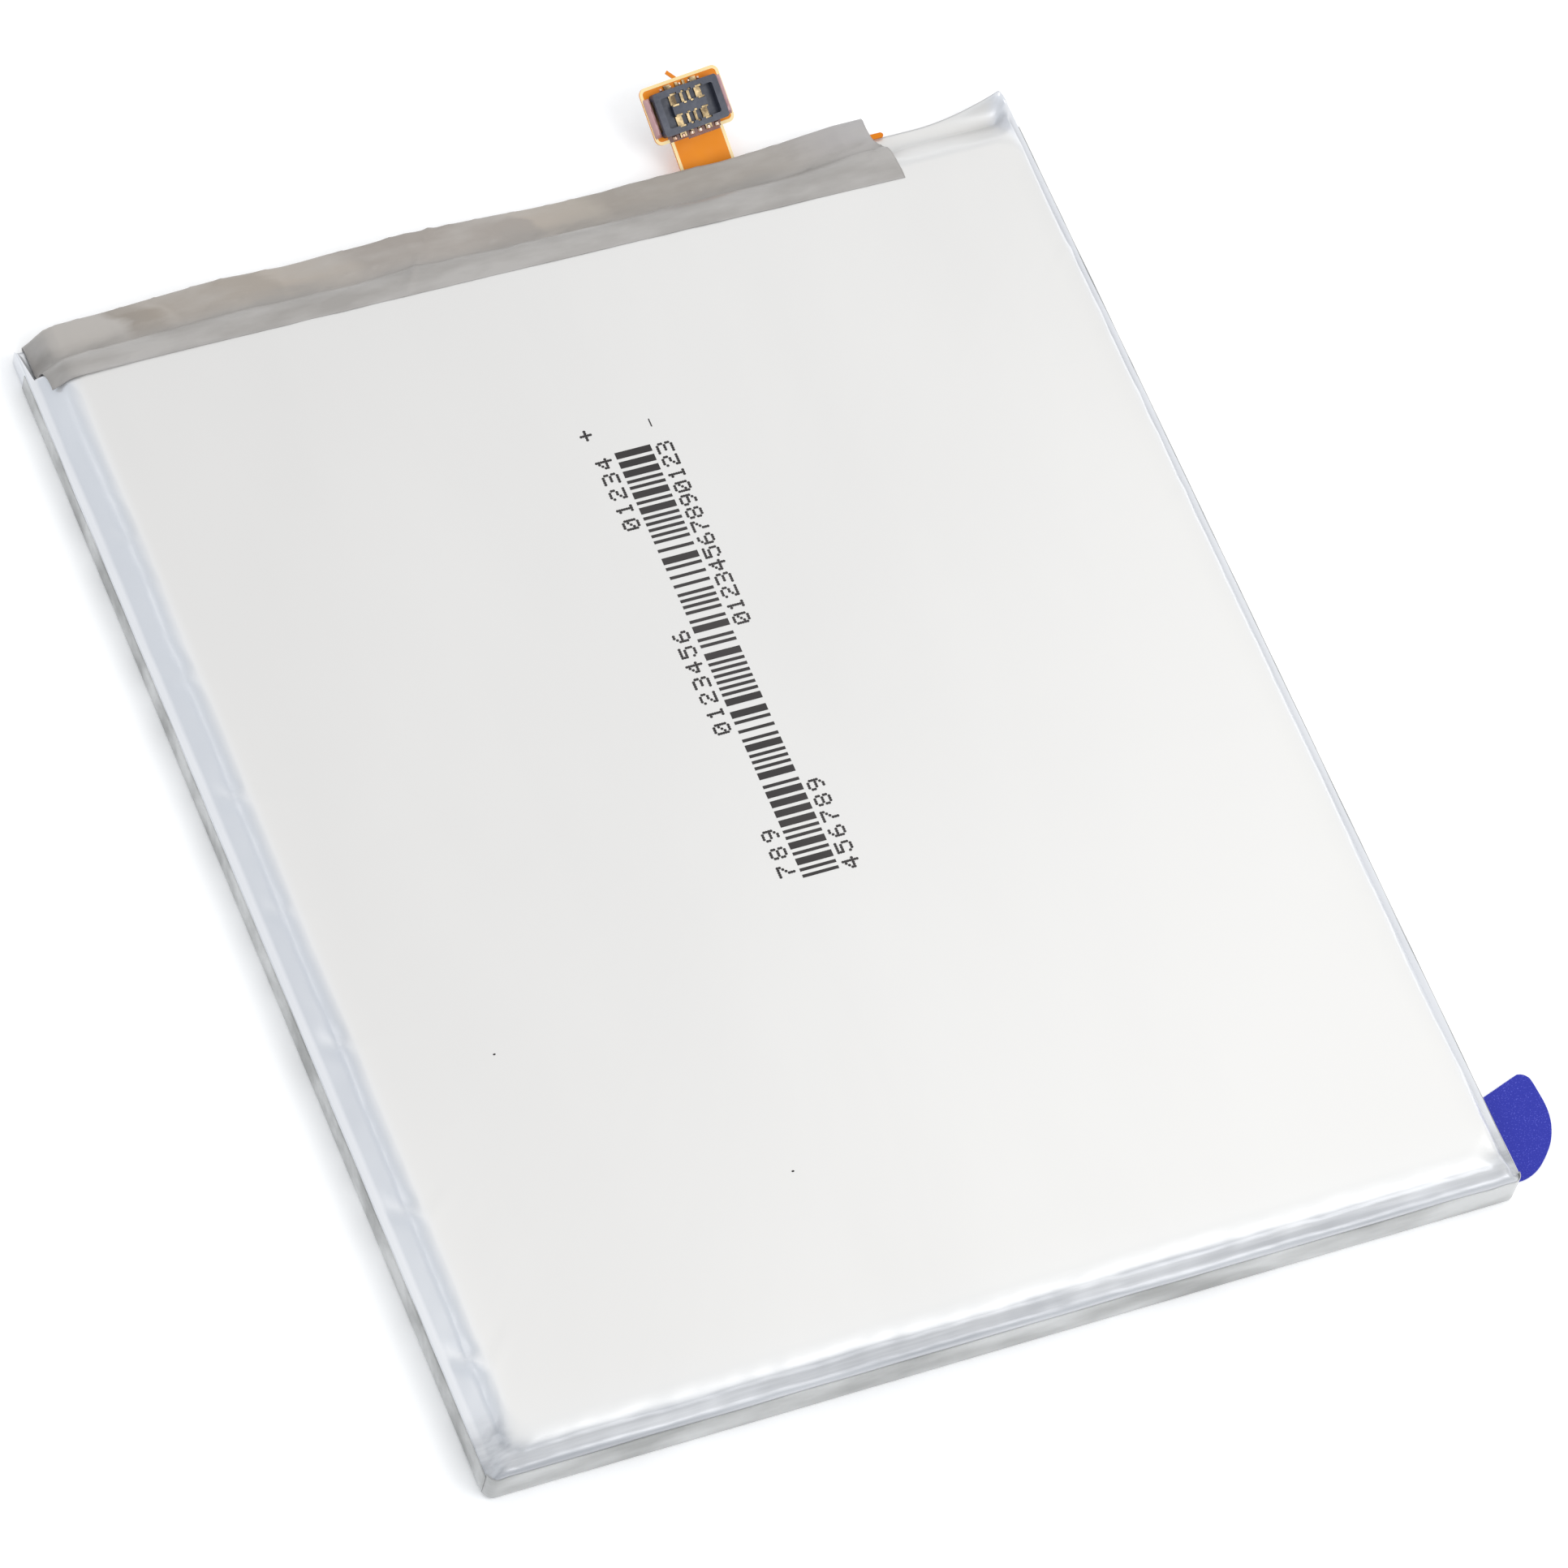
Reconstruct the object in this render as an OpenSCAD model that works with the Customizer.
// Flat pouch-cell battery of a mobile phone, lying with its drawn face up. Millimetres.
// The origin is on the plane the battery rests on, under the middle of the cell.
// X runs across the width, Y towards the connector and Z up to the drawn face.

/* [Cell] */
// Width over the folded side seals and their tape
cell_w = 65; // [60:0.5:80]
// Length from the bottom fold to the outer edge of the terrace
cell_l = 79.2; // [60:0.2:100]
// Height of the drawn face above the resting plane
cell_t = 3.5; // [3.3:0.05:4.5]
// Thickness of the sealed terrace
seal_t = 0.22; // [0.15:0.01:0.35]
// Depth of the terrace, from its outer edge to the foot of the cup
terrace_l = 2.3; // [2.2:0.05:2.6]
// Thickness of the side seals where they are folded up
flap_t = 0.4; // [0.2:0.05:0.6]
// Height of the folded side seals at the bottom end
flap_near_h = 2.2; // [1.4:0.05:2.4]
// Height of the folded side seals at the terrace end
flap_far_h = 1.7; // [1.4:0.05:2.4]
// Distance of the flat face from each long side
side_slope = 2.4; // [2.2:0.1:4]
// Distance of the flat face from the bottom fold
near_slope = 2.0; // [1.8:0.1:4]
// Distance of the flat face from the outer edge of the terrace
far_slope = 4.3; // [4:0.1:6]
// Corner radius of the flat face
face_r = 1.8; // [1.2:0.1:3]
// Corner radius at the foot of the pouch
foot_r = 0.6; // [0.3:0.1:1]
// Height of the pinched ears at the terrace corners, above the terrace
ear_h = 2.1; // [0.5:0.1:2.4]
// Length along the terrace over which an ear rises
ear_l = 5.5; // [3:0.5:8]

/* [Protection circuit] */
// Thickness of the adhesive pad on the terrace
pad_t = 0.1; // [0.05:0.01:0.2]
// Thickness of the flexible circuit
flex_t = 0.12; // [0.08:0.01:0.2]
// Distance from the left long side to the rigid circuit board
board_left = 8.9; // [8.4:0.1:9.6]
// Distance from the rigid circuit board to the right long side
board_right = 12.1; // [11:0.1:14]
// Depth of the rigid circuit board
board_w = 1.9; // [1.7:0.05:2]
// Thickness of the rigid circuit board
board_t = 0.4; // [0.3:0.05:0.5]
// Width of the two cell tabs
tab_w = 4; // [3:0.1:5]
// Thickness of the two cell tabs
tab_t = 0.08; // [0.06:0.01:0.12]
// Distance of the positive tab's middle from the left long side
positive_tab_in = 5.5; // [4:0.1:6]
// Distance of the negative tab's middle from the left long side
negative_tab_in = 19.7; // [18.5:0.1:21]
// Thickness of the nickel weld plates
weld_plate_t = 0.15; // [0.1:0.01:0.2]
// Height of the power transistors
fet_h = 0.85; // [0.6:0.05:0.9]
// Height of the protection chips
ic_h = 0.6; // [0.4:0.05:0.8]
// Height of the chip capacitors and of the thermistor
cap_h = 0.5; // [0.3:0.05:0.7]
// Height of the chip resistors
res_h = 0.35; // [0.2:0.05:0.5]

/* [Flex tail and connector] */
// Distance of the tail's middle from the right end of the board
tail_in = 7.3; // [6:0.1:10]
// Width of the tail
tail_w = 3.6; // [3:0.1:4.2]
// Length of the tail from its bend to the head
tail_l = 2.75; // [2:0.05:6]
// Angle by which the tail springs up
tail_rise = 28; // [0:1:40]
// Angle by which the tail is swung sideways
tail_swing = 6; // [-8:1:8]
// Width of the head
head_w = 5.45; // [5.2:0.05:7]
// Length of the head along the tail
head_l = 3.65; // [3.5:0.05:5]
// Thickness of the steel stiffener under the head
stiffener_t = 0.2; // [0.1:0.02:0.4]
// Width of the connector housing
housing_w = 4.4; // [4.2:0.05:5]
// Length of the connector housing along the tail
housing_l = 2.75; // [2.6:0.05:3.2]
// Height of the connector housing
housing_h = 0.65; // [0.5:0.05:0.9]
// Wall thickness of the connector housing
housing_wall = 0.42; // [0.3:0.02:0.5]
// Thickness of the housing floor
housing_floor = 0.15; // [0.1:0.01:0.2]
// Width of the island in the middle of the connector
island_w = 2.3; // [2:0.05:2.6]
// Length of the island along the tail
island_l = 0.72; // [0.5:0.02:0.9]
// Width of a power contact
power_w = 0.42; // [0.3:0.02:0.5]
// Width of a signal contact
signal_w = 0.17; // [0.12:0.01:0.22]
// Thickness of the contact metal
contact_t = 0.1; // [0.06:0.01:0.12]

/* [Tapes] */
// Thickness of the wrapping tapes and of the pull tab
tape_t = 0.08; // [0.05:0.01:0.12]
// Height of the top tape above the resting plane, over the circuit
tape_top_z = 2.1; // [2.05:0.05:2.5]
// Reach of the top tape onto the drawn face, measured from the terrace edge
tape_reach = 4.9; // [4.5:0.1:9]
// How far the reach shrinks from the right end of the tape to its left end
tape_slant = 0.75; // [0:0.05:1.5]
// Distance from the left long side to the top tape
tape_left_in = 1; // [0.7:0.1:2]
// Reach of the top tape past the right end of the board
tape_past_board = 3; // [2.4:0.1:4]
// Reach of the end tapes onto the back
tape_back = 3.5; // [2:0.1:6]
// Reach of the side tapes onto the back
side_tape_back = 2.5; // [1.5:0.1:4]
// Height of the bottom tape above the resting plane
near_tape_h = 2.5; // [1.5:0.05:2.6]
// Distance of the bottom tape's ends from the long sides
near_tape_gap = 0.7; // [0.5:0.1:2]

/* [Pull tab] */
// Reach of the pull tab beyond the long side
pull_out = 4.3; // [2:0.1:10]
// Width of the pull tab
pull_w = 6.4; // [6.2:0.1:12]
// Length of the pull tab's glued root under the cell
pull_root = 9; // [4:0.5:20]
// Distance of the pull tab from the bottom fold
pull_y = 1.0; // [0.5:0.1:6]
// Radius of the pull tab's corner next to the bottom fold
pull_near_r = 3.1; // [1:0.1:3.2]
// Radius of the pull tab's other corner
pull_far_r = 0.6; // [0.4:0.1:2]

/* [Hidden] */
$fn = 32;
// Clearance between pieces that lie close but aren't glued
gap = 0.03;
// Radius of the fold at the foot of the pouch
fold_r = 0.1;
// Two film layers lie under the pouch: the tapes, and the pull tab below them
back_z = 2 * tape_t;
terrace_z = back_z + seal_t;
half_w = cell_w / 2 - tape_t;
near_y = -cell_l / 2 + tape_t;
far_y = cell_l / 2;
cup_y = far_y - terrace_l;
// Places across the cell, from the side that each is set from
board_x0 = board_left - cell_w / 2;
board_x1 = cell_w / 2 - board_right;
positive_tab_x = positive_tab_in - cell_w / 2;
negative_tab_x = negative_tab_in - cell_w / 2;
tail_x = board_x1 - tail_in;
tape_left = tape_left_in - cell_w / 2;
tape_right = board_x1 + tape_past_board;

// Sheet bent along a path of points in the YZ plane, thickened to one side
function unit(v) = v / norm(v);
function left_of(v) = [-v[1], v[0]];
function path_normal(p, i) = let (
    a = unit(p[min(i + 1, len(p) - 1)] - p[min(i, len(p) - 2)]),
    b = unit(p[max(i, 1)] - p[max(i - 1, 0)]),
    m = unit(a + b)
) left_of(m) / (m * a);
function sheet_outline(p, t) = concat(p,
    [for (i = [len(p) - 1 : -1 : 0]) p[i] + t * path_normal(p, i)]);
module bent_sheet(p, t, x0, x1) {
    translate([x0, 0, 0]) rotate([90, 0, 90])
        linear_extrude(x1 - x0) polygon(sheet_outline(p, t));
}
// Points of an arc about c, from angle a0 to a1
function arc(c, r, a0, a1, n = 5) =
    [for (i = [0 : n]) let (a = a0 + (a1 - a0) * i / n) c + r * [cos(a), sin(a)]];

// Pouch: rings of points, from the foot up to the flat face, each a rounded rectangle.
// A profile point is [distance in from the outline, height].
function mix(a, b, t) = a + (b - a) * t;
function ease(t) = let (u = min(1, max(0, t))) u * u * (3 - 2 * u);
function bend(a, b, c, t) = mix(mix(a, b, t), mix(b, c, t), t);
bend_steps = 5;
rings = 7 + bend_steps;
// Height left between the folded seals and the face, and the level where the slope steepens
slope_in = 1.5;
slope_drop = 0.75;
near_crease_in = 0.25;
near_crease_drop = 0.65;
near_ledge_in = 1.1;
near_ledge_drop = 0.48;
round_drop = 0.06;
wall_break = 0.3;
function flap_h(y) = mix(flap_near_h, flap_far_h, (y + cell_l / 2) / cell_l);
function side_profile(y) = let (
    h = flap_h(y), a = [slope_in, cell_t - slope_drop],
    b = [mix(slope_in, side_slope, 0.5), cell_t - round_drop], c = [side_slope, cell_t]
) concat([[fold_r, back_z], [0, back_z + fold_r], [0, h - wall_break], [0, h - fold_r], [fold_r, h],
    [flap_t, h], a], [for (i = [1 : bend_steps]) bend(a, b, c, i / bend_steps)]);
function near_profile(x) = let (
    a = [near_ledge_in, cell_t - near_ledge_drop],
    b = [mix(near_ledge_in, near_slope, 0.3), cell_t - round_drop], c = [near_slope, cell_t]
) concat([[fold_r, back_z], [0, back_z + fold_r], [0, near_tape_h - wall_break], [0, near_tape_h],
    [fold_r, near_tape_h + fold_r], [near_crease_in, cell_t - near_crease_drop], a],
    [for (i = [1 : bend_steps]) bend(a, b, c, i / bend_steps)]);
// Beyond the end of the top tape the cup's end wall leans back, and the terrace curls up
// into an ear at each corner
lean_from = tape_right - 1;
lean_l = 4;
lean_foot = 1.0;
ear_t = 0.35;
left_ear_share = 0.6;
// The cup's end wall: how far it stands back from its foot, and how far below the face it ends
cup_back = 0.35;
cup_round_back = 0.6;
cup_drop = 0.9;
function lean(x) = ease((x - lean_from) / lean_l);
function ear(x) = let (u = min(1, max(0, (abs(x) - (cell_w / 2 - ear_l)) / ear_l)))
    ear_h * u * u * (x < 0 ? left_ear_share : 1);
function far_profile(x) = let (
    e = ear(x), f = mix(terrace_l, lean_foot, lean(x)),
    a = [mix(terrace_l + cup_back, mix(lean_foot, far_slope, 0.6), lean(x)), cell_t - cup_drop],
    b = [mix(terrace_l + cup_round_back, far_slope - cup_round_back, lean(x)), cell_t - round_drop],
    c = [far_slope, cell_t]
) concat([[fold_r, back_z], [0, back_z + fold_r], [0, terrace_z + e], [ear_t / 2, terrace_z + e],
    [ear_t, terrace_z + 0.8 * e], [f, terrace_z], a],
    [for (i = [1 : bend_steps]) bend(a, b, c, i / bend_steps)]);

// Corner radius of each ring
function ring_r(k) = mix(foot_r, face_r, ease((k - 4) / (rings - 5)));
// Stations round a ring: place across, place along, and the direction faced
corner_steps = 6;
long_steps = 12;
short_steps = 24;
stations = concat(
    [for (i = [0 : corner_steps]) [1, -1, -90 + 90 * i / corner_steps]],
    [for (i = [1 : long_steps - 1]) [1, -1 + 2 * i / long_steps, 0]],
    [for (i = [0 : corner_steps]) [1, 1, 90 * i / corner_steps]],
    [for (i = [1 : short_steps - 1]) [1 - 2 * i / short_steps, 1, 90]],
    [for (i = [0 : corner_steps]) [-1, 1, 90 + 90 * i / corner_steps]],
    [for (i = [1 : long_steps - 1]) [-1, 1 - 2 * i / long_steps, 180]],
    [for (i = [0 : corner_steps]) [-1, -1, 180 + 90 * i / corner_steps]],
    [for (i = [1 : short_steps - 1]) [-1 + 2 * i / short_steps, -1, 270]]);
function ring_point(k, s) = let (
    r = ring_r(k), side = side_profile(s[1] * cell_l / 2)[k],
    near = near_profile(s[0] * cell_w / 2)[k], far = far_profile(s[0] * cell_w / 2)[k],
    x = s[0] * (half_w - side[0] - r) + r * cos(s[2]),
    y = mix(near_y + near[0] + r, far_y - far[0] - r, (s[1] + 1) / 2) + r * sin(s[2]),
    end_z = s[2] > 0 && s[2] < 180 ? far[1] : near[1],
    w = sin(s[2]) * sin(s[2])
) [x, y, mix(side[1], end_z, w)];
// The foot is one plane: a triangle clear of the tapes and the pull tab, and a band round it
back_in = 1;
module cell_pouch() {
    n = len(stations);
    middle = rings * n;
    back_x = cell_w / 2 - side_tape_back - back_in;
    back_y0 = max(tape_back, pull_y + pull_w) + back_in - cell_l / 2;
    back_y1 = cell_l / 2 - tape_back - back_in;
    points = concat([for (k = [0 : rings - 1], s = stations) ring_point(k, s)],
        [[0, 0, cell_t], [-back_x, back_y0, back_z], [back_x, back_y0, back_z], [0, back_y1, back_z]]);
    // The band's inner corner for each station: right, far or left
    corner = [for (s = stations) middle + (s[1] > 0 ? 3 : s[0] >= 0 ? 2 : 1)];
    wall = [for (k = [0 : rings - 2], i = [0 : n - 1], upper = [0, 1]) let (
        a = k * n + i, b = k * n + (i + 1) % n
    ) upper == 0 ? [a, a + n, b] : [b, a + n, b + n]];
    band = [for (i = [0 : n - 1]) [corner[i], i, (i + 1) % n]];
    steps = [for (i = [0 : n - 1]) let (j = (i + 1) % n)
        if (corner[i] != corner[j]) [corner[i], j, corner[j]]];
    face = [for (i = [0 : n - 1]) [middle, middle - n + (i + 1) % n, middle - n + i]];
    back = [[middle + 1, middle + 2, middle + 3]];
    color("gainsboro") polyhedron(points, concat(wall, band, steps, face, back));
}

// Protection circuit, stacked on the terrace
pad_z = terrace_z + pad_t;
flex_z = pad_z + flex_t;
board_z = flex_z + board_t;
circuit_y0 = cup_y + 0.25;
circuit_y1 = circuit_y0 + board_w;
board_l = board_x1 - board_x0;
// Each cell tab leaves the seal, turns up and is folded back over its weld plate
tab_out = 0.1;
tab_bend = 0.08;
tab_end = 0.3;
tab_z = back_z + seal_t / 2 - tab_t / 2;
function tab_path(top) = concat([[far_y, tab_z]],
    arc([far_y + tab_out, tab_z + tab_bend + tab_t], tab_bend + tab_t, -90, 0),
    arc([far_y + tab_out, top - tab_bend], tab_bend + tab_t, 0, 90), [[circuit_y0 + tab_end, top + tab_t]]);
module cell_tab(x, top) {
    bent_sheet(tab_path(top), tab_t, x - tab_w / 2, x + tab_w / 2);
}
plate_z = board_z + weld_plate_t;
module positive_tab() {
    color("silver") cell_tab(positive_tab_x, plate_z);
}
module negative_tab() {
    color("silver") cell_tab(negative_tab_x, plate_z);
}
// Sealing film round a tab, where it shows beyond the seal
film_side = 0.6;
film_t = 0.05;
film_l = 0.07;
module tab_film(x) {
    color("white") difference() {
        translate([x - tab_w / 2 - film_side, far_y, tab_z - film_t])
            cube([tab_w + 2 * film_side, film_l, tab_t + 2 * film_t]);
        translate([x - tab_w / 2, far_y - 1, tab_z]) cube([tab_w, 2, tab_t]);
    }
}
module positive_tab_film() {
    tab_film(positive_tab_x);
}
module negative_tab_film() {
    tab_film(negative_tab_x);
}
pad_in = 0.1;
module board_pad() {
    color("white") translate([board_x0 + pad_in, circuit_y0 + pad_in, terrace_z])
        cube([board_l - 2 * pad_in, board_w - 2 * pad_in, pad_t]);
}

// Everything on the head shares the tail's plane, which springs up from its bend
tail_y = far_y + 0.2;
module tail_bend() {
    translate([tail_x, tail_y, pad_z]) rotate([0, 0, tail_swing]) children();
}
module tail_plane() {
    tail_bend() rotate([tail_rise, 0, 0]) children();
}
module rounded_plate(w, l, t, r) {
    linear_extrude(t) union() {
        square([w - 2 * r, l], center = true);
        square([w, l - 2 * r], center = true);
        for (x = [-1, 1], y = [-1, 1]) translate([x * (w / 2 - r), y * (l / 2 - r)]) circle(r);
    }
}
head_r = 0.45;
head_y = tail_l + head_l / 2;
// The flat strip's extra width beside the tail, and the length that lies flat before the bend
strip_side = 1;
bend_l = 0.6;
spur_w = 0.22;
spur_l = 0.9;
spur_angle = 38;
// The strip ends in a narrow rounded tongue that shows past the end of the top tape
tongue_l = 1.1;
tongue_w = 0.35;
module flex_circuit() {
    tongue_x = tape_right + tongue_l - tongue_w / 2;
    tongue_y = far_y + tongue_w / 4;
    color("orange") {
        translate([board_x0, circuit_y0, pad_z]) cube([board_l + strip_side, board_w, flex_t]);
        translate([tail_x - tail_w / 2 - strip_side, circuit_y0, pad_z])
            cube([tail_w + 2 * strip_side, tail_y - circuit_y0, flex_t]);
        translate([tail_x, tongue_y - tongue_w / 2, pad_z]) cube([tongue_x - tail_x, tongue_w, flex_t]);
        translate([tongue_x, tongue_y, pad_z]) cylinder(d = tongue_w, h = flex_t);
        tail_bend() translate([-tail_w / 2, -bend_l, 0]) cube([tail_w, bend_l, flex_t]);
        tail_plane() {
            translate([-tail_w / 2, 0, 0]) cube([tail_w, tail_l + head_l / 2, flex_t]);
            translate([0, head_y, 0]) rounded_plate(head_w, head_l, flex_t, head_r);
            translate([0, tail_l + head_l - spur_w, 0]) rotate([0, 0, spur_angle])
                translate([-spur_w / 2, 0, 0]) cube([spur_w, spur_l, flex_t]);
        }
    }
}
module protection_board() {
    color("darkgreen") translate([board_x0, circuit_y0, flex_z]) cube([board_l, board_w, board_t]);
}
// The positive plate reaches past the end of the board to its tab
plate_in = 0.2;
plate_on_board = 3;
positive_plate_x1 = board_x0 + plate_on_board;
negative_plate_x0 = negative_tab_x - tab_w / 2 - plate_in;
negative_plate_x1 = negative_tab_x + tab_w / 2 + plate_in;
module weld_plate(x0, x1) {
    color("lightgray") translate([x0, circuit_y0 + plate_in, board_z])
        cube([x1 - x0, board_w - 2 * plate_in, weld_plate_t]);
}
module positive_weld_plate() {
    weld_plate(positive_tab_x - tab_w / 2 - plate_in, positive_plate_x1);
}
module negative_weld_plate() {
    weld_plate(negative_plate_x0, negative_plate_x1);
}
// A chip package of length l, depth w and height h on the outer half of the board at x
chip_in = 0.1;
module chip(x, l, w, h) {
    translate([x - l / 2, circuit_y1 - chip_in - w, board_z]) cube([l, w, h]);
}
fet_l = 3;
fet_w = 1.35;
ic_l = 1.6;
ic_w = 1.3;
sense_l = 2;
sense_w = 1.25;
chip_l = 1;
chip_w = 0.5;
// Parts stand in a row with equal spaces, between x0 and x1. Their lengths are in ls.
function run(ls, i) = i < 0 ? 0 : ls[i] + run(ls, i - 1);
function row_x(ls, i, x0, x1) = let (space = (x1 - x0 - run(ls, len(ls) - 1)) / (len(ls) + 1))
    x0 + space * (i + 1) + run(ls, i) - ls[i] / 2;
left_row = [chip_l, chip_l];
right_row = [fet_l, fet_l, ic_l, ic_l, chip_l, chip_l, chip_l, chip_l, chip_l, sense_l, chip_l, chip_l];
function left_x(i) = row_x(left_row, i, positive_plate_x1, negative_plate_x0);
function right_x(i) = row_x(right_row, i, negative_plate_x1, board_x1);
module power_transistor_a() {
    color("dimgray") chip(right_x(0), fet_l, fet_w, fet_h);
}
module power_transistor_b() {
    color("dimgray") chip(right_x(1), fet_l, fet_w, fet_h);
}
module protection_chip_a() {
    color("dimgray") chip(right_x(2), ic_l, ic_w, ic_h);
}
module protection_chip_b() {
    color("dimgray") chip(right_x(3), ic_l, ic_w, ic_h);
}
module sense_resistor() {
    color("black") chip(right_x(9), sense_l, sense_w, cap_h);
}
module chip_resistors() {
    color("black") for (i = [4 : 7]) chip(right_x(i), chip_l, chip_w, res_h);
}
module chip_capacitors() {
    color("tan") for (x = [left_x(0), left_x(1), right_x(8), right_x(10)]) chip(x, chip_l, chip_w, cap_h);
}
module thermistor() {
    color("black") chip(right_x(11), chip_l, chip_w, cap_h);
}

// Board-to-board connector on the head: a frame round a recess, with an island in the middle
connector_in = 0.35;
connector_y = tail_l + connector_in + housing_l / 2;
pocket_w = housing_w - 2 * housing_wall;
pocket_l = housing_l - 2 * housing_wall;
housing_r = 0.2;
pocket_r = 0.12;
island_r = 0.1;
module on_head() {
    tail_plane() translate([0, connector_y, flex_t]) children();
}
stiffener_in = 0.1;
module connector_stiffener() {
    color("lightgray") tail_plane() translate([0, head_y, -stiffener_t])
        rounded_plate(head_w - 2 * stiffener_in, head_l - 2 * stiffener_in, stiffener_t, head_r);
}
// Contacts stand in two rows, wide power contacts outside and narrow signal contacts between
power_x = 0.88;
signal_x = 0.24;
contact_gap = 0.02;
contact_foot = 0.28;
island_h = housing_h - 0.12;
contact_h = housing_h - 0.1;
// Solder lugs at both short ends of the housing: length, depth let in, height and foot
lug_l = 1.9;
lug_in = 0.1;
lug_h = 0.35;
lug_foot = 0.3;
post_y = pocket_l / 2;
island_post_y = island_l / 2 - contact_t;
module contact_cut(x, w) {
    slot_w = w + 2 * contact_gap;
    slot_l = contact_t + contact_gap;
    for (m = [0, 1]) mirror([0, m, 0]) translate([x - slot_w / 2, 0, -1]) {
        translate([0, island_post_y - contact_gap, 0]) cube([slot_w, slot_l + contact_gap, 3]);
        translate([0, post_y - contact_gap, 0]) cube([slot_w, slot_l + contact_gap, 3]);
        translate([0, post_y, 0]) cube([slot_w, housing_wall + 1, 1 + housing_floor + contact_gap]);
    }
}
module connector_housing() {
    color("darkslategray") on_head() difference() {
        union() {
            difference() {
                rounded_plate(housing_w, housing_l, housing_h, housing_r);
                translate([0, 0, housing_floor]) rounded_plate(pocket_w, pocket_l, housing_h, pocket_r);
            }
            rounded_plate(island_w, island_l, island_h, island_r);
        }
        for (s = [-1, 1]) {
            contact_cut(s * power_x, power_w);
            contact_cut(s * signal_x, signal_w);
        }
        for (m = [0, 1]) mirror([m, 0, 0]) translate([housing_w / 2 - lug_in, 0, 0])
            translate([0, -lug_l / 2 - contact_gap, -1])
                cube([1, lug_l + 2 * contact_gap, 1 + lug_h + contact_gap]);
    }
}
// One contact: a post on the island, a strip over the floor, a post in the wall and a foot
module contact(x, w) {
    for (m = [0, 1]) mirror([0, m, 0]) translate([x - w / 2, 0, 0]) {
        translate([0, island_post_y, housing_floor]) cube([w, contact_t, contact_h - housing_floor]);
        translate([0, island_post_y, housing_floor])
            cube([w, post_y + contact_t - island_post_y, contact_t]);
        translate([0, post_y, 0]) cube([w, contact_t, contact_h]);
        translate([0, post_y, 0]) cube([w, housing_wall + contact_foot, contact_t]);
    }
}
module power_contacts() {
    color("gold") on_head() for (s = [-1, 1]) contact(s * power_x, power_w);
}
module signal_contacts() {
    color("gold") on_head() for (s = [-1, 1]) contact(s * signal_x, signal_w);
}
module connector_hold_downs() {
    color("gold") on_head() for (m = [0, 1]) mirror([m, 0, 0])
        translate([housing_w / 2 - lug_in + contact_gap, -lug_l / 2, 0]) {
            cube([contact_t, lug_l, lug_h]);
            cube([lug_in + lug_foot, lug_l, contact_t]);
        }
}

// Top tape: from the flat face down into the valley behind the cup, over the circuit, down the
// outside and under the terrace. The path is the tape's inner face.
tape_in_z = tape_top_z - tape_t;
tape_wall_y = far_y + tab_out + tab_bend + tab_t + 2 * gap;
tape_r = 0.25;
valley_drop = 0.35;
valley_y = cup_y + 0.25;
valley_w = 0.15;
tape_face_edge = [far_y - far_slope, cell_t];
tape_shoulder = [cup_y - 0.15, cell_t + 0.05];
tape_valley = [valley_y - valley_w, tape_in_z - valley_drop + 0.25];
tape_path = concat([[far_y - tape_reach - 1, cell_t], tape_face_edge],
    [for (i = [1 : 4]) bend(tape_face_edge, tape_shoulder, tape_valley, i / 4)],
    [[valley_y, tape_in_z - valley_drop], [valley_y + 2 * valley_w, tape_in_z - gap],
        [valley_y + 4 * valley_w, tape_in_z]],
    arc([tape_wall_y - tape_r, tape_in_z - tape_r], tape_r, 90, 0),
    arc([tape_wall_y - fold_r, back_z + fold_r], fold_r, 0, -90, 3), [[far_y - tape_back, back_z]]);
slot_gap = 0.2;
// How far the tape's ends are cut back over the terrace, on the left and on the right
left_cut = 0.5;
right_cut = 1;
module top_tape() {
    edge = far_y - tape_reach;
    color("darkgray") intersection() {
        difference() {
            bent_sheet(tape_path, tape_t, tape_left, tape_right);
            translate([tail_x - tail_w / 2 - slot_gap, far_y, pad_z - slot_gap])
                cube([tail_w + 2 * slot_gap, 2, 4 * slot_gap + flex_t]);
        }
        translate([0, 0, -1]) linear_extrude(cell_t + 2) polygon([
            [tape_left, edge + tape_slant], [tape_right, edge], [tape_right, cup_y - 0.4],
            [tape_right - right_cut, cup_y + 0.7], [tape_right - right_cut, far_y + 2],
            [tape_left + left_cut, far_y + 2], [tape_left + left_cut, far_y], [tape_left, cup_y]]);
    }
}
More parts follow.
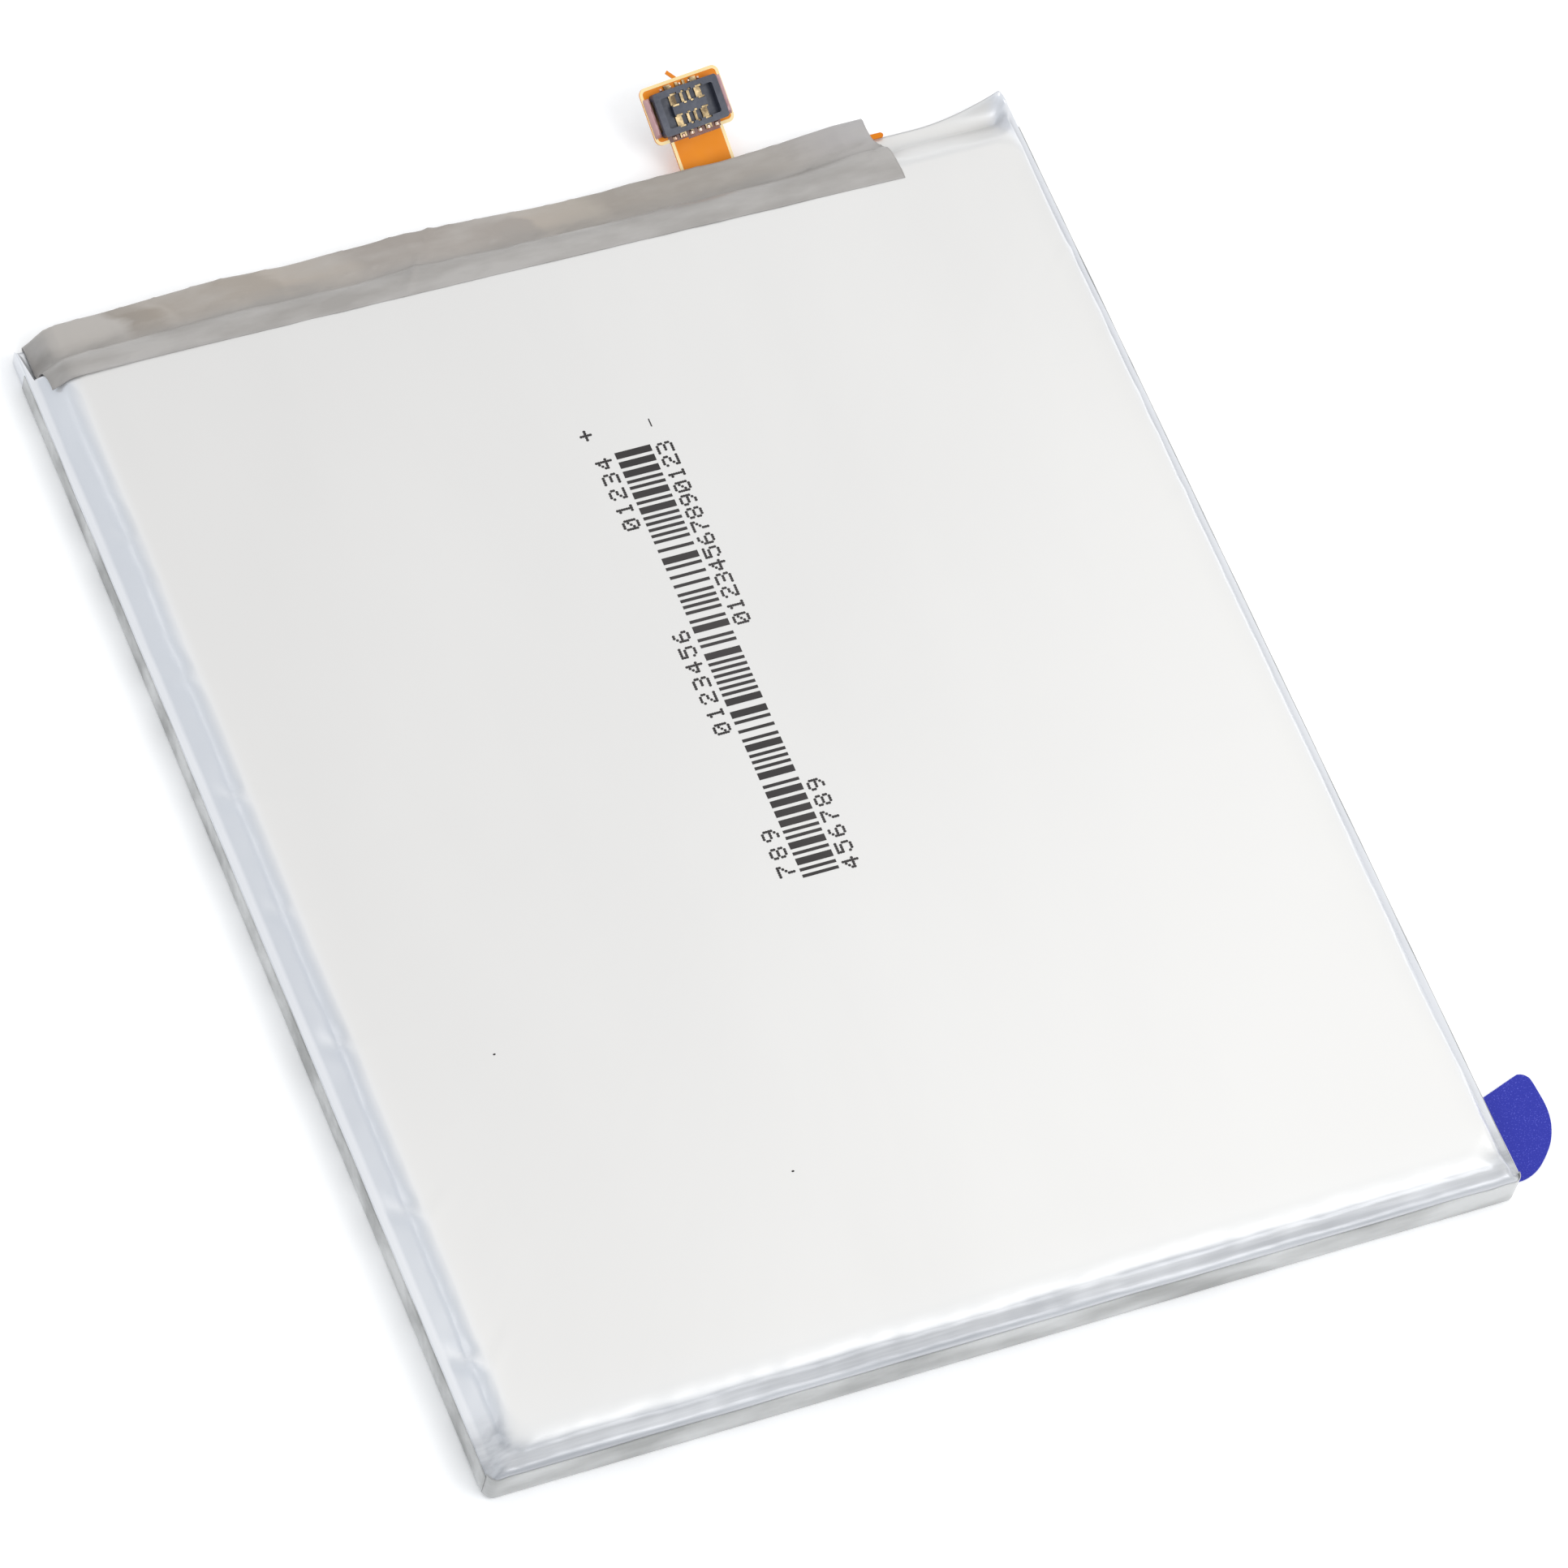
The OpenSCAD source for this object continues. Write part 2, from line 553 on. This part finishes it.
module bottom_tape() {
    x = cell_w / 2 - near_tape_gap;
    color("darkgray") translate([-x, -cell_l / 2, tape_t]) {
        cube([2 * x, tape_t, near_tape_h - tape_t]);
        cube([2 * x, tape_back, tape_t]);
    }
}
// Side tapes hold the folded seals to the wall and turn under onto the back
side_gap = 0.3;
side_y0 = tape_back + side_gap - cell_l / 2;
side_y1 = cell_l / 2 - tape_back - side_gap;
side_end = 0.7;
module side_tape() {
    wall_y0 = -cell_l / 2 + side_end;
    wall_y1 = cup_y;
    translate([cell_w / 2, 0, 0]) rotate([90, 0, -90]) linear_extrude(tape_t)
        polygon([[-wall_y0, tape_t], [-wall_y0, flap_h(wall_y0) - fold_r],
            [-wall_y1, flap_h(wall_y1) - fold_r], [-wall_y1, tape_t]]);
    translate([cell_w / 2 - side_tape_back, side_y0, tape_t])
        cube([side_tape_back, side_y1 - side_y0, tape_t]);
}
module left_side_tape() {
    color("darkgray") mirror([1, 0, 0]) side_tape();
}
module right_side_tape() {
    color("darkgray") side_tape();
}
// Pull tab: a film glued under the cell, with a free rounded end past the right side
module pull_tab() {
    x0 = cell_w / 2 - pull_root;
    x1 = cell_w / 2 + pull_out;
    y0 = pull_y - cell_l / 2;
    y1 = y0 + pull_w;
    color("mediumblue") linear_extrude(tape_t) union() {
        translate([x0, y0]) square([x1 - pull_near_r - x0, pull_w]);
        translate([x0, y0 + pull_near_r]) square([x1 - x0, pull_w - pull_near_r - pull_far_r]);
        translate([x0, y1 - pull_far_r - 0.01]) square([x1 - pull_far_r - x0, pull_far_r + 0.01]);
        translate([x1 - pull_near_r, y0 + pull_near_r]) circle(pull_near_r);
        translate([x1 - pull_far_r, y1 - pull_far_r]) circle(pull_far_r);
    }
}

cell_pouch();
positive_tab();
negative_tab();
positive_tab_film();
negative_tab_film();
board_pad();
flex_circuit();
protection_board();
positive_weld_plate();
negative_weld_plate();
power_transistor_a();
power_transistor_b();
protection_chip_a();
protection_chip_b();
sense_resistor();
chip_resistors();
chip_capacitors();
thermistor();
connector_stiffener();
connector_housing();
power_contacts();
signal_contacts();
connector_hold_downs();
top_tape();
bottom_tape();
left_side_tape();
right_side_tape();
pull_tab();
